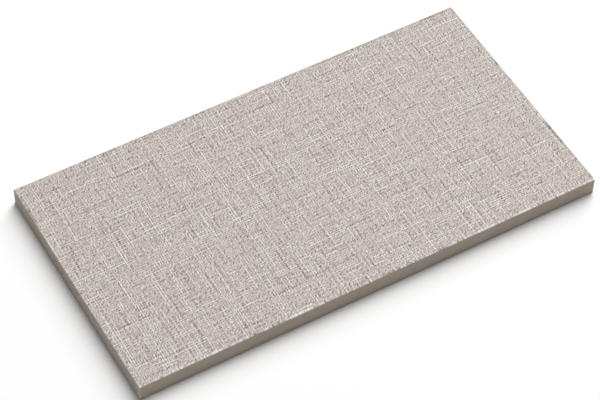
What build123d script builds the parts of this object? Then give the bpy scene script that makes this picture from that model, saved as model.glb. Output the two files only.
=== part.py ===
"""Glazed ceramic wall tile of the 227 x 120 mm format, dry-pressed and fired as one piece.

The origin is the middle of the back, +X runs along the long side and +Z points out of the glazed face.
All sizes are in millimetres.
"""

import os
from math import floor

from build123d import *

# Pressed body
FACE_LENGTH = 227.0
FACE_WIDTH = 120.0
TILE_THICKNESS = 8.7
CORNER_RADIUS = 0.5  # of the four upright edges
ARRIS_RADIUS = 0.4  # where the glazed face rolls over into the sides
FOOT_RADIUS = 0.4  # round the back, where the punch meets the die

# Keyed back: a grid of shallow drafted cells that gives the adhesive a hold
CELL_SIDE = 19.0  # at the mouth
CELL_CORNER_RADIUS = 1.8
CELL_DEPTH = 0.6
CELL_DRAFT = 30.0  # degrees that the cell's walls lean outwards
RIB_WIDTH = 2.4  # between neighbouring cells
LEAST_BORDER = 5.0  # plain land between the outermost cells and the sides


def cells_along(side):
    """The number of cells that fit along a side of the tile inside the plain border."""
    return floor((side - 2 * LEAST_BORDER + RIB_WIDTH) / (CELL_SIDE + RIB_WIDTH))


def pressed_body():
    """The plain tile: rounded upright corners, an eased face and an eased foot."""
    body = extrude(RectangleRounded(FACE_LENGTH, FACE_WIDTH, CORNER_RADIUS), TILE_THICKNESS)
    face = body.faces().sort_by(Axis.Z)[-1]
    body = fillet(face.edges(), ARRIS_RADIUS)
    foot = body.faces().sort_by(Axis.Z)[0]
    return fillet(foot.edges(), FOOT_RADIUS)


def key_cells():
    """The volumes that the punch's raised pads press out of the back."""
    mouth = RectangleRounded(CELL_SIDE, CELL_SIDE, CELL_CORNER_RADIUS)
    cell = extrude(mouth, CELL_DEPTH, taper=CELL_DRAFT)
    pitch = CELL_SIDE + RIB_WIDTH
    grid = GridLocations(pitch, pitch, cells_along(FACE_LENGTH), cells_along(FACE_WIDTH))
    return [place * cell for place in grid]


wall_tile = pressed_body() - key_cells()

os.makedirs("parts", exist_ok=True)
export_step(wall_tile, "parts/wall_tile.step")
print("cells on the back:", cells_along(FACE_LENGTH), "by", cells_along(FACE_WIDTH))
print("volume of the tile, cm3:", round(wall_tile.volume / 1000, 2))
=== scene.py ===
"""Looks of a ceramic wall tile: the linen relief of its glazed face, its bare sides and its keyed back.

Lengths are written in millimetres and become metres where a mesh, a light or the camera is made.
"""

from math import cos, pi, radians, sin, tan

import bpy
import numpy as np
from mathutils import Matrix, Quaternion, Vector
from mathutils.geometry import tessellate_polygon


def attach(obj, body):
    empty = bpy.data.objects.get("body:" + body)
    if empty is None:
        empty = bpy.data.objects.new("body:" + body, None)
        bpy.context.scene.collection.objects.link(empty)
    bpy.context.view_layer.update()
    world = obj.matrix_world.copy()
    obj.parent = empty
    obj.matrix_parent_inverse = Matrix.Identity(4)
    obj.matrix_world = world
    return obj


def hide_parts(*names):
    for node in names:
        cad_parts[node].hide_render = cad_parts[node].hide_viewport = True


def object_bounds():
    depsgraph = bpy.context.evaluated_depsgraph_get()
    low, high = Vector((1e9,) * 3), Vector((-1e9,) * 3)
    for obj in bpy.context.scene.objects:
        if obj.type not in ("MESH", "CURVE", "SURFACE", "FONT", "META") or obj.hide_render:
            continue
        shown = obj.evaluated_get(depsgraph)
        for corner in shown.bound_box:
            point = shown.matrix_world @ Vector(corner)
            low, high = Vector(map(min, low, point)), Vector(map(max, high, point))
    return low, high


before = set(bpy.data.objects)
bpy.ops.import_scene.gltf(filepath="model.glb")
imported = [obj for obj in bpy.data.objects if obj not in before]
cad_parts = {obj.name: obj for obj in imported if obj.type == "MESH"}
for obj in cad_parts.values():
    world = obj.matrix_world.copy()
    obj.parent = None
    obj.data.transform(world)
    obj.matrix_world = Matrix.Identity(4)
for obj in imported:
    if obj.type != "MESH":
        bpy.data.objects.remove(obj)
CAD_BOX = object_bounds()

MM = 0.001  # metres
SLIGHT = 1e-6  # a length or a share that counts as none

# Pressed body, as the solid has it
FACE_LENGTH, FACE_WIDTH, TILE_THICKNESS = (CAD_BOX[1] - CAD_BOX[0]) / MM
CORNER_RADIUS = 0.5
ARRIS_RADIUS = 0.4
ARRIS_STEPS = 3
FOOT_RADIUS = 0.4
FOOT_STEPS = 3
CELL_SIDE = 19.0
CELL_CORNER_RADIUS = 1.8
CELL_CORNER_STEPS = 4
CELL_DEPTH = 0.6
CELL_DRAFT = 30.0  # degrees
RIB_WIDTH = 2.4
LEAST_BORDER = 5.0

# Linen of the face
THREAD_PITCH = 1.1
RELIEF_DEPTH = 0.18  # from the highest crests down to the deepest gaps between threads
SWAY = 0.19  # how far a thread wanders to either side
SWAY_REACH = (3, 18)  # over which it does so, across and along the thread, in half pitches
MISSED_SHARE = 0.2  # of the crossings, where the other thread lies on top
SEED = 11

# Heights of the linen, as shares of the relief's depth
CROWN_HEIGHT = 0.8  # where a thread passes over another
FLANK_HEIGHT = 0.5  # along a thread between two crossings
HOLE_HEIGHT = 0.15  # between four crossings
TONE_HEIGHT = 0.09  # that one spread of pale tone adds
EDGE_HEIGHT = 0.75  # where the face meets its edges

# Tones of the linen, counted in spreads of the yarn's own tone: light is positive
HOLE_TONE = -1.4  # between four crossings
FLANK_TONE = -0.3  # added to a thread between two crossings
GRAIN = 0.75  # spread of the grain that the whole face has
HOLE_GRAIN = 0.25  # spread that the holes have on top of that
THREAD_SPREAD = 0.25  # from one thread to the next
RUN_SPREAD = 0.7  # along a thread
RUN_REACH = 3.0  # crossings
CROSSING_SPREAD = 0.6  # from one crossing to the next
PATCH_SPREAD = 0.4  # over neighbouring threads together
PATCH_REACH = (0.9, 14.0)  # threads and crossings
CRISPNESS = 0.7  # share of the mean tone round a point that is taken off it
CRISP_REACH = 0.73  # half pitches
EVENNESS = 0.2  # the same over a wider reach, which evens out the face
EVEN_REACH = 6  # half pitches

# Edges of the face: they are plainer than the rest and darkened with painted shade, apart from the front
# one, which keeps most of its weave and is lightened with a faint painted highlight
EDGE_WEAVE = 0.25  # share of the yarn's own tone that is kept there
FRONT_WEAVE = 0.9
EDGE_PAINTED_SHADE = -0.5  # painted shade: tone that is added there
# painted highlight: tone that is added at the front edge instead
FRONT_PAINTED_HIGHLIGHT = 0.1
STILL_BORDER = 2 * THREAD_PITCH  # over which the sway dies out towards the edges
PAINTED_SHADE_BORDER = THREAD_PITCH  # over which the painted shade and highlight come in
PLAIN_BORDER = THREAD_PITCH / 2  # over which the weave becomes plain and straight

# Runs of thicker pale yarn and of thin dark yarn: number to a thread, lengths and tones
WARP_SLUBS = (
    (2.0, (4.0, 18.0), (0.6, 1.6)),
    (1.6, (4.0, 14.0), (-1.8, -0.7)),
)
WEFT_SLUBS = (
    (2.4, (3.0, 18.0), (0.6, 1.7)),
    (2.6, (3.0, 14.0), (-1.7, -0.6)),
)
SLUB_TAPER = 6  # power by which a slub dies out: a higher one ends more bluntly

# Glaze: its colours from the darkest to the palest yarn, and the fibres along each thread
TONE_STOPS = (
    (0.0, (79, 55, 41)),
    (0.25, (139, 125, 115)),
    (0.5, (189, 180, 172)),
    (0.75, (218, 215, 212)),
    (1.0, (239, 240, 240)),
)
TONE_MIDDLE = 0.5  # place of the mean tone on those stops
TONE_SPREAD = 0.212  # how far one spread of the yarn's tone goes along them
FIBRE_TONE = 0.3  # how far the fibres go along them
FIBRES_ACROSS = 3.5  # waves to the millimetre, across the thread
FIBRES_ALONG = 0.5
FIBRES_UP = 1.0
FIBRE_DETAIL = 2  # finer layers of the noise
FIBRE_DEPTH = 0.03
GLAZE_ROUGHNESS = (0.5, 0.75)  # at the foot and at the top of the fibres

# Bare body
BODY_DARK = (186, 173, 157)
BODY_LIGHT = (196, 183, 168)
BODY_EDGE_HIGHLIGHT = (210, 196, 180)  # painted highlight along the upright edges
MOTTLE_WAVES = 0.35  # to the millimetre
MOTTLE_DETAIL = 4
MOTTLE_ENDS = (0.25, 0.75)  # values of the noise that show the two colours
BODY_GRAIN_WAVES = 4.0  # to the millimetre
BODY_GRAIN_DETAIL = 3
BODY_GRAIN_DEPTH = 0.015
BODY_ROUGHNESS = (0.7, 0.9)  # at the foot and at the top of the grain

# Flat map of the skin, in shares of its square. A scale is the share that one tile length takes up.
MAP_FACE_SCALE = 0.99
MAP_FACE_MIDDLE = (0.5, 0.735)
MAP_BACK_SCALE = 0.74
MAP_BACK_MIDDLE = (0.376, 0.2)
MAP_THICKNESS_SCALE = 0.75  # up the sides
MAP_FRONT_FOOT = 0.403  # where the foot of each side lies
MAP_FAR_FOOT = 0.435
MAP_LEFT_FOOT = 0.78
MAP_RIGHT_FOOT = 0.83

# Camera, fitted to the tile's outline in the picture. Azimuths count from the front towards the right.
IMAGE_WIDTH = 600  # pixels
FOCAL_LENGTH = 2291  # pixels
SENSOR_WIDTH = 36.0
VIEW_AZIMUTH = -30.93  # degrees
VIEW_ELEVATION = 51.43
VIEW_ROLL = 1.38
VIEW_DISTANCE = 1004.0
VIEW_TARGET = Vector((-6.43, -6.31, TILE_THICKNESS))

# Light and ground
SKY_LEVEL = 0.15
KEY_POWER = 227.0  # watts
KEY_AZIMUTH = 130.5  # degrees
KEY_ELEVATION = 56.3
KEY_DISTANCE = 4000.0
KEY_WIDTH = 2300.0
KEY_HEIGHT = 5800.0
FLOOR_SIDE = 9000.0
FLOOR_DROP = 0.05  # below the tile's back, so that the two never share a plane
FLOOR_SEEN = (255, 255, 255)  # by the camera
FLOOR_BOUNCE = (230, 230, 230)  # in the light that the ground throws back


def blurred(values, reach):
    """The values averaged over a soft reach along each axis, in samples."""
    first = np.fft.fftfreq(values.shape[0])[:, None] * reach[0]
    second = np.fft.fftfreq(values.shape[1])[None, :] * reach[1]
    kept = np.exp(-2 * pi**2 * (first**2 + second**2))
    return np.fft.ifft2(np.fft.fft2(values) * kept).real


def uneven(rng, shape, reach):
    """Random values of unit spread that change softly over the reach."""
    values = blurred(rng.standard_normal(shape), reach)
    return values / values.std()


def make_slubs(rng, threads, crossings, kinds):
    """Tone that the slubs of one direction of threads add at each crossing."""
    slubs = np.zeros((threads, crossings))
    along = np.arange(crossings) * THREAD_PITCH
    for share, lengths, tones in kinds:
        for _ in range(round(share * threads)):
            thread = rng.integers(threads)
            middle = rng.uniform(0, along[-1])
            half_length = rng.uniform(*lengths) / 2
            fade = np.exp(-((np.abs(along - middle) / half_length) ** SLUB_TAPER))
            run = rng.uniform(*tones) * fade
            slubs[thread] = np.where(np.abs(run) > np.abs(slubs[thread]), run, slubs[thread])
    return slubs


def spin(rng, threads, crossings, slub_kinds):
    """Tone of each thread of one direction at each crossing, and the slubs that are part of it."""
    shape = (threads, crossings)
    of_thread = THREAD_SPREAD * rng.standard_normal((threads, 1))
    along_thread = RUN_SPREAD * uneven(rng, shape, (0, RUN_REACH))
    at_crossing = CROSSING_SPREAD * rng.standard_normal(shape)
    of_neighbours = PATCH_SPREAD * uneven(rng, shape, PATCH_REACH)
    yarn = of_thread + along_thread + at_crossing + of_neighbours
    slubs = make_slubs(rng, threads, crossings, slub_kinds)
    return yarn + slubs, slubs


def on_weave(holes, warp_flanks, weft_flanks, crowns, shape):
    """Values of the weave at its places: thread middles are odd along an axis and gaps are even."""
    values = np.array(np.broadcast_to(holes, shape), float)
    values[1::2, 1::2] = crowns
    values[1::2, 2:-1:2] = warp_flanks
    values[2:-1:2, 1::2] = weft_flanks
    return values


def linen(warps, wefts):
    """Tone, height, upper direction and sway of a plain weave. Warps run along Y and wefts along X."""
    rng = np.random.default_rng(SEED)
    warp, warp_slubs = spin(rng, warps, wefts, WARP_SLUBS)
    weft, weft_slubs = (made.T for made in spin(rng, wefts, warps, WEFT_SLUBS))
    i, j = np.indices(warp.shape)
    missed = rng.random(warp.shape) < MISSED_SHARE
    over = ((i + j) % 2 == 0) ^ missed
    crown = np.where(over, warp + weft_slubs, weft + warp_slubs)
    warp_flank = (warp[:, 1:] + warp[:, :-1]) / 2 + FLANK_TONE
    weft_flank = (weft[1:] + weft[:-1]) / 2 + FLANK_TONE
    shape = (2 * warps + 1, 2 * wefts + 1)
    grain = rng.standard_normal(shape)

    tone = on_weave(HOLE_TONE + HOLE_GRAIN * grain, warp_flank, weft_flank, crown, shape) + GRAIN * grain
    near = blurred(tone, (CRISP_REACH, CRISP_REACH))
    wide = blurred(tone, (EVEN_REACH, EVEN_REACH))
    tone = tone - CRISPNESS * near - EVENNESS * wide
    height = on_weave(HOLE_HEIGHT, FLANK_HEIGHT, FLANK_HEIGHT, CROWN_HEIGHT, shape)
    height = np.clip(height + TONE_HEIGHT * tone, 0, 1)
    warp_up = on_weave(0.5, 1, 0, over, shape)  # both directions count alike in the holes
    sway_x = SWAY * uneven(rng, shape, SWAY_REACH)
    sway_y = SWAY * uneven(rng, shape, SWAY_REACH[::-1])
    return tone / tone.std(), height, warp_up, sway_x, sway_y


def face_lines(half, threads):
    """Grid lines across the face: thread middles, gaps and the two lines that shape the rounded corners."""
    inner = half * (np.arange(1, 2 * threads) / threads - 1)
    corner = np.array([half - (CORNER_RADIUS - ARRIS_RADIUS), half])
    return np.concatenate([-corner[::-1], inner, corner])


def on_lines(values):
    """Values of the weave carried to the grid lines: the outermost ones are held out to the edges."""
    return np.pad(values[1:-1, 1:-1], 2, mode="edge")


def inside_edge(lines, reach):
    """1 on the lines inside the face, going down to 0 over the reach to its edges."""
    return np.clip((np.abs(lines).max() - np.abs(lines)) / reach, 0, 1)


def inside_edges(columns, rows, reach):
    """1 at the points inside the face, going down to 0 over the reach to its four edges."""
    return inside_edge(columns, reach)[:, None] * inside_edge(rows, reach)[None, :]


def toned_edges(tone, columns, rows):
    """The linen's tone, plainer where the face meets its edges, with painted shade there and a faint painted
    highlight at the front edge.
    """
    woven = inside_edges(columns, rows, PLAIN_BORDER)
    front = rows < rows.min() + PLAIN_BORDER
    kept = np.where(front, FRONT_WEAVE, EDGE_WEAVE)
    # Painted shade on the left, right and back edges, and a painted highlight on the front one
    painted_shade_x = EDGE_PAINTED_SHADE * (1 - inside_edge(columns, PAINTED_SHADE_BORDER))
    painted_shade_y = np.where(rows < 0, FRONT_PAINTED_HIGHLIGHT, EDGE_PAINTED_SHADE) * (1 - inside_edge(rows, PAINTED_SHADE_BORDER))
    return tone * (kept + (1 - kept) * woven) + painted_shade_x[:, None] + painted_shade_y[None, :]


def round_corners(x, y, half_x, half_y, radius):
    """The points of a rectangle moved so that its corners follow a radius, and which way each one faces."""
    past_x = np.maximum(np.abs(x) - (half_x - radius), 0)
    past_y = np.maximum(np.abs(y) - (half_y - radius), 0)
    reach = np.maximum(np.hypot(past_x, past_y), SLIGHT)
    at_corner = (past_x > SLIGHT) & (past_y > SLIGHT)
    pull = np.where(at_corner, np.maximum(past_x, past_y) / reach, 1)
    outward = np.stack([np.sign(x) * past_x, np.sign(y) * past_y], -1)
    return x - outward[..., 0] * (1 - pull), y - outward[..., 1] * (1 - pull), outward


def border_of(numbers):
    """The outer numbers of a grid, counter-clockwise from the first corner."""
    return np.concatenate([numbers[:-1, 0], numbers[-1, :-1], numbers[:0:-1, -1], numbers[0, :0:-1]])


def band(lower, upper):
    """Four-sided faces between two closed rings of as many points, facing outwards."""
    pairs = zip(lower, np.roll(lower, -1), np.roll(upper, -1), upper)
    return [tuple(int(n) for n in four) for four in pairs]


def rounded_square(centre, side, radius, height):
    """A closed ring of points round a square with rounded corners, counter-clockwise from above."""
    points = []
    reach = side / 2 - radius
    for corner, (sx, sy) in enumerate(((1, 1), (-1, 1), (-1, -1), (1, -1))):
        for step in range(CELL_CORNER_STEPS + 1):
            angle = pi / 2 * (corner + step / CELL_CORNER_STEPS)
            px = centre[0] + sx * reach + radius * cos(angle)
            py = centre[1] + sy * reach + radius * sin(angle)
            points.append((px, py, height))
    return points


class Shell:
    """Vertices in millimetres and faces of the tile's skin, gathered region by region."""

    FACE, SIDES, EDGES, BACK = range(4)

    def __init__(self):
        self.points = []
        self.faces = []
        self.regions = []

    def add_points(self, points):
        """Takes in points and returns their numbers."""
        first = len(self.points)
        self.points.extend(tuple(float(v) for v in p) for p in points)
        return np.arange(first, len(self.points))

    def add_faces(self, faces, region):
        """Takes in faces of one region, each as the numbers of its points."""
        self.faces.extend(faces)
        self.regions.extend([region] * len(faces))


def glazed_face(shell):
    """The linen face. Returns its border, which way the border's points face, and the marks on the face."""
    half_x = FACE_LENGTH / 2 - ARRIS_RADIUS
    half_y = FACE_WIDTH / 2 - ARRIS_RADIUS
    warps = round(2 * half_x / THREAD_PITCH)
    wefts = round(2 * half_y / THREAD_PITCH)
    tone, height, warp_up, sway_x, sway_y = (on_lines(values) for values in linen(warps, wefts))
    columns = face_lines(half_x, warps)
    rows = face_lines(half_y, wefts)
    free = inside_edges(columns, rows, STILL_BORDER)
    x = columns[:, None] + free * sway_x
    y = rows[None, :] + free * sway_y
    x, y, outward = round_corners(x, y, half_x, half_y, CORNER_RADIUS - ARRIS_RADIUS)
    height = EDGE_HEIGHT + (height - EDGE_HEIGHT) * inside_edges(columns, rows, PLAIN_BORDER)
    z = TILE_THICKNESS - RELIEF_DEPTH * (1 - height)
    numbers = shell.add_points(np.stack([x, y, z], -1).reshape(-1, 3)).reshape(x.shape)
    quads = np.stack([numbers[:-1, :-1], numbers[1:, :-1], numbers[1:, 1:], numbers[:-1, 1:]], -1)
    shell.add_faces([tuple(q) for q in quads.reshape(-1, 4).tolist()], Shell.FACE)
    border = border_of(numbers)
    direction = outward.reshape(-1, 2)[border]
    direction = direction / np.linalg.norm(direction, axis=1)[:, None]
    marks = {
        "tone": toned_edges(tone, columns, rows).reshape(-1),
        "warp_up": warp_up.reshape(-1),
        "glaze": np.ones(tone.size),
    }
    return border, direction, marks


def glazed_arris(shell, border, direction, marks):
    """The rounded edge where the glaze thins out. Returns its lowest ring, the ring's plan and all marks."""
    inner = np.array([shell.points[n] for n in border])
    sunk = TILE_THICKNESS - inner[:, 2]
    upper = border
    for step in range(1, ARRIS_STEPS + 1):
        angle = pi / 2 * step / ARRIS_STEPS
        plan = inner[:, :2] + direction * ARRIS_RADIUS * sin(angle)
        level = TILE_THICKNESS - ARRIS_RADIUS * (1 - cos(angle)) - sunk * cos(angle)
        lower = shell.add_points(np.column_stack([plan, level]))
        shell.add_faces(band(lower, upper), Shell.FACE)
        upper = lower
    glaze = np.repeat(1 - (np.arange(1, ARRIS_STEPS + 1) / ARRIS_STEPS) ** 2, len(border))
    marks = {
        "tone": np.concatenate([marks["tone"], np.tile(marks["tone"][border], ARRIS_STEPS)]),
        "warp_up": np.concatenate([marks["warp_up"], np.tile(marks["warp_up"][border], ARRIS_STEPS)]),
        "glaze": np.concatenate([marks["glaze"], glaze]),
    }
    return upper, plan, marks


def bare_sides(shell, top_ring, plan, direction):
    """The sides, the rounded edges between them and the rounded foot. Returns the foot's lowest ring."""
    slanted = np.abs(direction).min(axis=1) > SLIGHT
    # Only the points round the upright edges are carried down, so that each side is one flat face
    stops = np.flatnonzero(slanted | np.roll(slanted, 1) | np.roll(slanted, -1))
    plan, direction = plan[stops], direction[stops]
    side_foot = shell.add_points(np.column_stack([plan, np.full(len(stops), FOOT_RADIUS)]))
    around = np.concatenate([top_ring, top_ring[:1]])
    for n, start in enumerate(stops):
        following = (n + 1) % len(stops)
        end = stops[following] if following else len(top_ring)
        upper = around[start : end + 1][::-1]
        face = (int(side_foot[n]), int(side_foot[following]), *upper.tolist())
        rounded = slanted[start] or slanted[stops[following]]
        shell.add_faces([face], Shell.EDGES if rounded else Shell.SIDES)
    upper = side_foot
    for step in range(1, FOOT_STEPS + 1):
        angle = pi / 2 * step / FOOT_STEPS
        inset = plan - direction * FOOT_RADIUS * (1 - cos(angle))
        level = np.full(len(stops), FOOT_RADIUS * (1 - sin(angle)))
        lower = shell.add_points(np.column_stack([inset, level]))
        shell.add_faces(band(lower, upper), Shell.BACK)
        upper = lower
    return upper


def cell_middles(side):
    """Middles of the cells that fit along a side of the tile inside the plain border."""
    pitch = CELL_SIDE + RIB_WIDTH
    count = int((side - 2 * LEAST_BORDER + RIB_WIDTH) / pitch)
    return [pitch * (n - (count - 1) / 2) for n in range(count)]


def keyed_back(shell, foot):
    """The flat land of the back and the cells pressed into it."""
    shrink = CELL_DEPTH * tan(radians(CELL_DRAFT))
    bed_side = CELL_SIDE - 2 * shrink
    bed_radius = CELL_CORNER_RADIUS - shrink
    rings = [foot]
    for x in cell_middles(FACE_LENGTH):
        for y in cell_middles(FACE_WIDTH):
            mouth = shell.add_points(rounded_square((x, y), CELL_SIDE, CELL_CORNER_RADIUS, 0.0))
            bed = shell.add_points(rounded_square((x, y), bed_side, bed_radius, CELL_DEPTH))
            shell.add_faces(band(bed, mouth), Shell.BACK)
            shell.add_faces([tuple(int(n) for n in bed[::-1])], Shell.BACK)
            rings.append(mouth)
    order = np.concatenate(rings)
    outlines = [[Vector(shell.points[n]) for n in ring] for ring in rings]
    land = []
    for triangle in tessellate_polygon(outlines):
        a, b, c = (Vector(shell.points[order[n]]) for n in triangle)
        facing_down = (b - a).cross(c - a).z < 0
        corners = triangle if facing_down else reversed(triangle)
        land.append(tuple(int(order[n]) for n in corners))
    shell.add_faces(land, Shell.BACK)


def corner_values(mesh, regions):
    """Each face corner's place in tile lengths, and the normal and the region of its face."""
    corner_vertex = np.empty(len(mesh.loops), np.int32)
    mesh.loops.foreach_get("vertex_index", corner_vertex)
    corners_each = np.empty(len(mesh.polygons), np.int32)
    mesh.polygons.foreach_get("loop_total", corners_each)
    normals = np.empty(len(mesh.polygons) * 3, np.float32)
    mesh.polygons.foreach_get("normal", normals)
    points = np.empty(len(mesh.vertices) * 3, np.float32)
    mesh.vertices.foreach_get("co", points)
    places = points.reshape(-1, 3)[corner_vertex] / (FACE_LENGTH * MM)
    normals = np.repeat(normals.reshape(-1, 3), corners_each, axis=0)
    return places, normals, np.repeat(regions, corners_each)


def lay_out_map(mesh, regions):
    """A flat map of the skin: the face on top, the long sides below, then the back and the short sides."""
    places, normals, region = corner_values(mesh, regions)
    x, y, z = places.T
    on_face = np.array([MAP_FACE_MIDDLE[0] + MAP_FACE_SCALE * x, MAP_FACE_MIDDLE[1] + MAP_FACE_SCALE * y])
    on_back = np.array([MAP_BACK_MIDDLE[0] + MAP_BACK_SCALE * x, MAP_BACK_MIDDLE[1] + MAP_BACK_SCALE * y])
    up_side = MAP_THICKNESS_SCALE * z
    long_foot = np.where(normals[:, 1] > 0, MAP_FAR_FOOT, MAP_FRONT_FOOT)
    short_foot = np.where(normals[:, 0] > 0, MAP_RIGHT_FOOT, MAP_LEFT_FOOT)
    on_long_side = np.array([on_face[0], long_foot + up_side])
    on_short_side = np.array([short_foot + up_side, on_back[1]])
    long_side = np.abs(normals[:, 1]) > np.abs(normals[:, 0])
    on_side = np.where(long_side, on_long_side, on_short_side)
    flat = np.select([region == Shell.FACE, region == Shell.BACK], [on_face, on_back], on_side)
    layer = mesh.uv_layers.new(name="OFBake")
    layer.uv.foreach_set("vector", flat.T.astype(np.float32).reshape(-1))


def linear(red, green, blue):
    """A display colour of 0 to 255 as the light values that shaders take, by the standard display curve."""
    channels = np.array([red, green, blue]) / 255
    values = np.where(channels <= 0.04045, channels / 12.92, ((channels + 0.055) / 1.055) ** 2.4)
    return (*(float(v) for v in values), 1.0)


def new_material(name):
    """A material, its node tree and its Principled shader, with nothing linked to it yet."""
    material = bpy.data.materials.new(name)
    material.use_nodes = True
    return material, material.node_tree, material.node_tree.nodes["Principled BSDF"]


def object_noise(tree, waves, detail):
    """Noise in the object's own space, by its waves to the millimetre along X, Y and Z."""
    place = tree.nodes.new("ShaderNodeTexCoord")
    stretch = tree.nodes.new("ShaderNodeMapping")
    stretch.inputs["Scale"].default_value = [w / MM for w in waves]
    noise = tree.nodes.new("ShaderNodeTexNoise")
    noise.inputs["Scale"].default_value = 1.0
    noise.inputs["Detail"].default_value = detail
    tree.links.new(place.outputs["Object"], stretch.inputs["Vector"])
    tree.links.new(stretch.outputs["Vector"], noise.inputs["Vector"])
    return noise.outputs["Fac"]


def attribute(tree, name):
    """The value that a mark on the mesh has at a point."""
    node = tree.nodes.new("ShaderNodeAttribute")
    node.attribute_name = name
    return node.outputs["Fac"]


def mixed(tree, factor, first, second):
    """A number between two others, by a factor."""
    node = tree.nodes.new("ShaderNodeMix")
    tree.links.new(factor, node.inputs["Factor"])
    tree.links.new(first, node.inputs["A"])
    tree.links.new(second, node.inputs["B"])
    return node.outputs["Result"]


def blended(tree, factor, first):
    """A mix of colours that starts from the first one. Returns the second one's socket and the result."""
    node = tree.nodes.new("ShaderNodeMix")
    node.data_type = "RGBA"
    tree.links.new(factor, node.inputs["Factor"])
    # The node has an A, a B and a Result for each kind of data, and these numbers are the colours' own
    tree.links.new(first, node.inputs[6])
    return node.inputs[7], node.outputs[2]


def scaled(tree, source, factor, offset):
    """A number times a factor, plus an offset."""
    node = tree.nodes.new("ShaderNodeMath")
    node.operation = "MULTIPLY_ADD"
    tree.links.new(source, node.inputs[0])
    node.inputs[1].default_value = factor
    node.inputs[2].default_value = offset
    return node.outputs[0]


def added(tree, first, second):
    """The sum of two numbers."""
    node = tree.nodes.new("ShaderNodeMath")
    tree.links.new(first, node.inputs[0])
    tree.links.new(second, node.inputs[1])
    return node.outputs[0]


def ramp(tree, source, stops):
    """A colour that runs through the given stops as the source goes from 0 to 1."""
    node = tree.nodes.new("ShaderNodeValToRGB")
    tree.links.new(source, node.inputs["Fac"])
    elements = node.color_ramp.elements
    while len(elements) < len(stops):
        elements.new(0.5)  # its place is set below
    for element, (position, colour) in zip(elements, stops):
        element.position = position
        element.color = linear(*colour)
    return node.outputs["Color"]


def roughen(tree, shader, height, depth, roughness):
    """Fine relief on a shader, by a height of 0 to 1 and its depth, and the roughness that goes with it."""
    low, high = roughness
    tree.links.new(scaled(tree, height, high - low, low), shader.inputs["Roughness"])
    bump = tree.nodes.new("ShaderNodeBump")
    bump.inputs["Distance"].default_value = depth * MM
    tree.links.new(height, bump.inputs["Height"])
    tree.links.new(bump.outputs["Normal"], shader.inputs["Normal"])


def body_colour(tree):
    """The fired body: taupe, faintly mottled, and paler along the upright edges, where a highlight is
    painted.
    """
    mottle = object_noise(tree, (MOTTLE_WAVES, MOTTLE_WAVES, MOTTLE_WAVES), MOTTLE_DETAIL)
    plain = ramp(tree, mottle, tuple(zip(MOTTLE_ENDS, (BODY_DARK, BODY_LIGHT))))
    # The upright edges take a paler body colour: a painted highlight that stands in for light caught by the
    # rounded edges
    painted_edge_highlight, result = blended(tree, attribute(tree, "painted_edge_highlight"), plain)
    painted_edge_highlight.default_value = linear(*BODY_EDGE_HIGHLIGHT)
    return result


def linen_glaze():
    """The matte glaze: heathered tones with fine fibres along each thread, thinning out over the arris."""
    material, tree, shader = new_material("linen_glaze")
    warp_fibres = object_noise(tree, (FIBRES_ACROSS, FIBRES_ALONG, FIBRES_UP), FIBRE_DETAIL)
    weft_fibres = object_noise(tree, (FIBRES_ALONG, FIBRES_ACROSS, FIBRES_UP), FIBRE_DETAIL)
    fibres = mixed(tree, attribute(tree, "warp_up"), weft_fibres, warp_fibres)
    of_yarn = scaled(tree, attribute(tree, "tone"), TONE_SPREAD, TONE_MIDDLE)
    of_fibres = scaled(tree, fibres, FIBRE_TONE, -FIBRE_TONE / 2)
    glaze, over_arris = blended(tree, attribute(tree, "glaze"), body_colour(tree))
    tree.links.new(ramp(tree, added(tree, of_yarn, of_fibres), TONE_STOPS), glaze)
    tree.links.new(over_arris, shader.inputs["Base Color"])
    roughen(tree, shader, fibres, FIBRE_DEPTH, GLAZE_ROUGHNESS)
    return material


def fired_body():
    """The bare body of the sides and the back: matte, fine-grained and faintly mottled."""
    material, tree, shader = new_material("fired_body")
    tree.links.new(body_colour(tree), shader.inputs["Base Color"])
    grain = object_noise(tree, (BODY_GRAIN_WAVES, BODY_GRAIN_WAVES, BODY_GRAIN_WAVES), BODY_GRAIN_DETAIL)
    roughen(tree, shader, grain, BODY_GRAIN_DEPTH, BODY_ROUGHNESS)
    return material


def make_tile():
    """The whole tile as one closed skin."""
    shell = Shell()
    border, direction, marks = glazed_face(shell)
    top_ring, plan, marks = glazed_arris(shell, border, direction, marks)
    foot = bare_sides(shell, top_ring, plan, direction)
    keyed_back(shell, foot)
    mesh = bpy.data.meshes.new("linen_tile")
    mesh.from_pydata(np.array(shell.points) * MM, [], shell.faces)
    for name, values in marks.items():
        full = np.zeros(len(mesh.vertices), np.float32)
        full[: len(values)] = values
        mesh.attributes.new(name, "FLOAT", "POINT").data.foreach_set("value", full)
    mesh.materials.append(linen_glaze())
    mesh.materials.append(fired_body())
    regions = np.array(shell.regions)
    # Faces round the upright edges, which take the painted highlight
    painted_edge_highlight = (regions == Shell.EDGES).astype(np.float32)
    mesh.attributes.new("painted_edge_highlight", "FLOAT", "FACE").data.foreach_set("value", painted_edge_highlight)
    glazed = regions == Shell.FACE
    mesh.polygons.foreach_set("material_index", np.where(glazed, 0, 1).astype(np.int32))
    mesh.polygons.foreach_set("use_smooth", glazed)
    mesh.update()
    lay_out_map(mesh, regions)
    tile = bpy.data.objects.new("linen_tile", mesh)
    bpy.context.scene.collection.objects.link(tile)
    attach(tile, "root")
    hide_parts("wall_tile")


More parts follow.
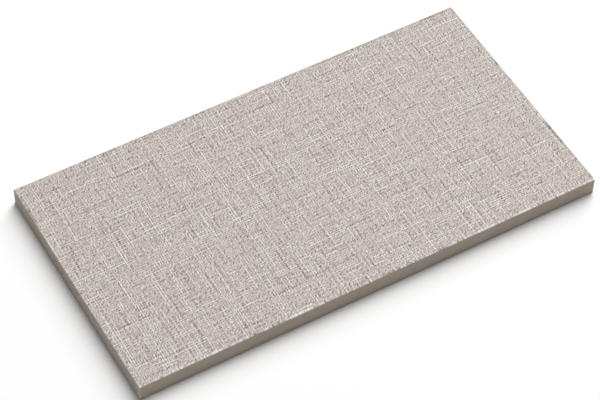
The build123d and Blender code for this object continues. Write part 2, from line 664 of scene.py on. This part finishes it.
def make_floor():
    """White ground that shows as white to the camera and takes the tile's shadow."""
    half = FLOOR_SIDE / 2 * MM
    level = -FLOOR_DROP * MM
    mesh = bpy.data.meshes.new("floor")
    corners = [(-half, -half, level), (half, -half, level), (half, half, level), (-half, half, level)]
    mesh.from_pydata(corners, [], [(0, 1, 2, 3)])
    material, tree, shader = new_material("white_ground")
    shader.inputs["Roughness"].default_value = 1.0
    shader.inputs["Specular IOR Level"].default_value = 0.0
    rays = tree.nodes.new("ShaderNodeLightPath")
    shown = ramp(tree, rays.outputs["Is Camera Ray"], ((0.0, FLOOR_BOUNCE), (1.0, FLOOR_SEEN)))
    tree.links.new(shown, shader.inputs["Base Color"])
    mesh.materials.append(material)
    floor = bpy.data.objects.new("floor", mesh)
    bpy.context.scene.collection.objects.link(floor)


def way_to(azimuth, elevation):
    """The way from the tile to a place that is seen at an azimuth and an elevation."""
    around = radians(azimuth)
    level = cos(radians(elevation))
    return Vector((sin(around) * level, -cos(around) * level, sin(radians(elevation))))


def make_key():
    """A tall panel of light that leans over the tile's far right corner."""
    lamp = bpy.data.lights.new("key", "AREA")
    lamp.energy = KEY_POWER
    lamp.shape = "RECTANGLE"
    lamp.size = KEY_WIDTH * MM
    lamp.size_y = KEY_HEIGHT * MM
    key = bpy.data.objects.new("key", lamp)
    towards = way_to(KEY_AZIMUTH, KEY_ELEVATION)
    key.location = towards * KEY_DISTANCE * MM
    key.rotation_mode = "QUATERNION"
    key.rotation_quaternion = (-towards).to_track_quat("-Z", "Y")
    bpy.context.scene.collection.objects.link(key)


def make_sky():
    """An even sky that shows white to the camera."""
    world = bpy.data.worlds.new("sky")
    world.use_nodes = True
    bpy.context.scene.world = world
    tree = world.node_tree
    background = tree.nodes["Background"]
    background.inputs["Color"].default_value = (1, 1, 1, 1)
    rays = tree.nodes.new("ShaderNodeLightPath")
    strength = scaled(tree, rays.outputs["Is Camera Ray"], 1 - SKY_LEVEL, SKY_LEVEL)
    tree.links.new(strength, background.inputs["Strength"])


def make_camera():
    """The picture's own view of the tile."""
    lens = bpy.data.cameras.new("camera")
    lens.sensor_width = SENSOR_WIDTH
    lens.lens = FOCAL_LENGTH * SENSOR_WIDTH / IMAGE_WIDTH
    camera = bpy.data.objects.new("camera", lens)
    back = way_to(VIEW_AZIMUTH, VIEW_ELEVATION)
    camera.location = (VIEW_TARGET + back * VIEW_DISTANCE) * MM
    camera.rotation_mode = "QUATERNION"
    turn = Quaternion((0, 0, 1), radians(VIEW_ROLL))
    camera.rotation_quaternion = (-back).to_track_quat("-Z", "Y") @ turn
    bpy.context.scene.collection.objects.link(camera)
    bpy.context.scene.camera = camera


make_tile()
make_floor()
make_key()
make_sky()
make_camera()
bpy.context.scene.view_settings.view_transform = "Standard"
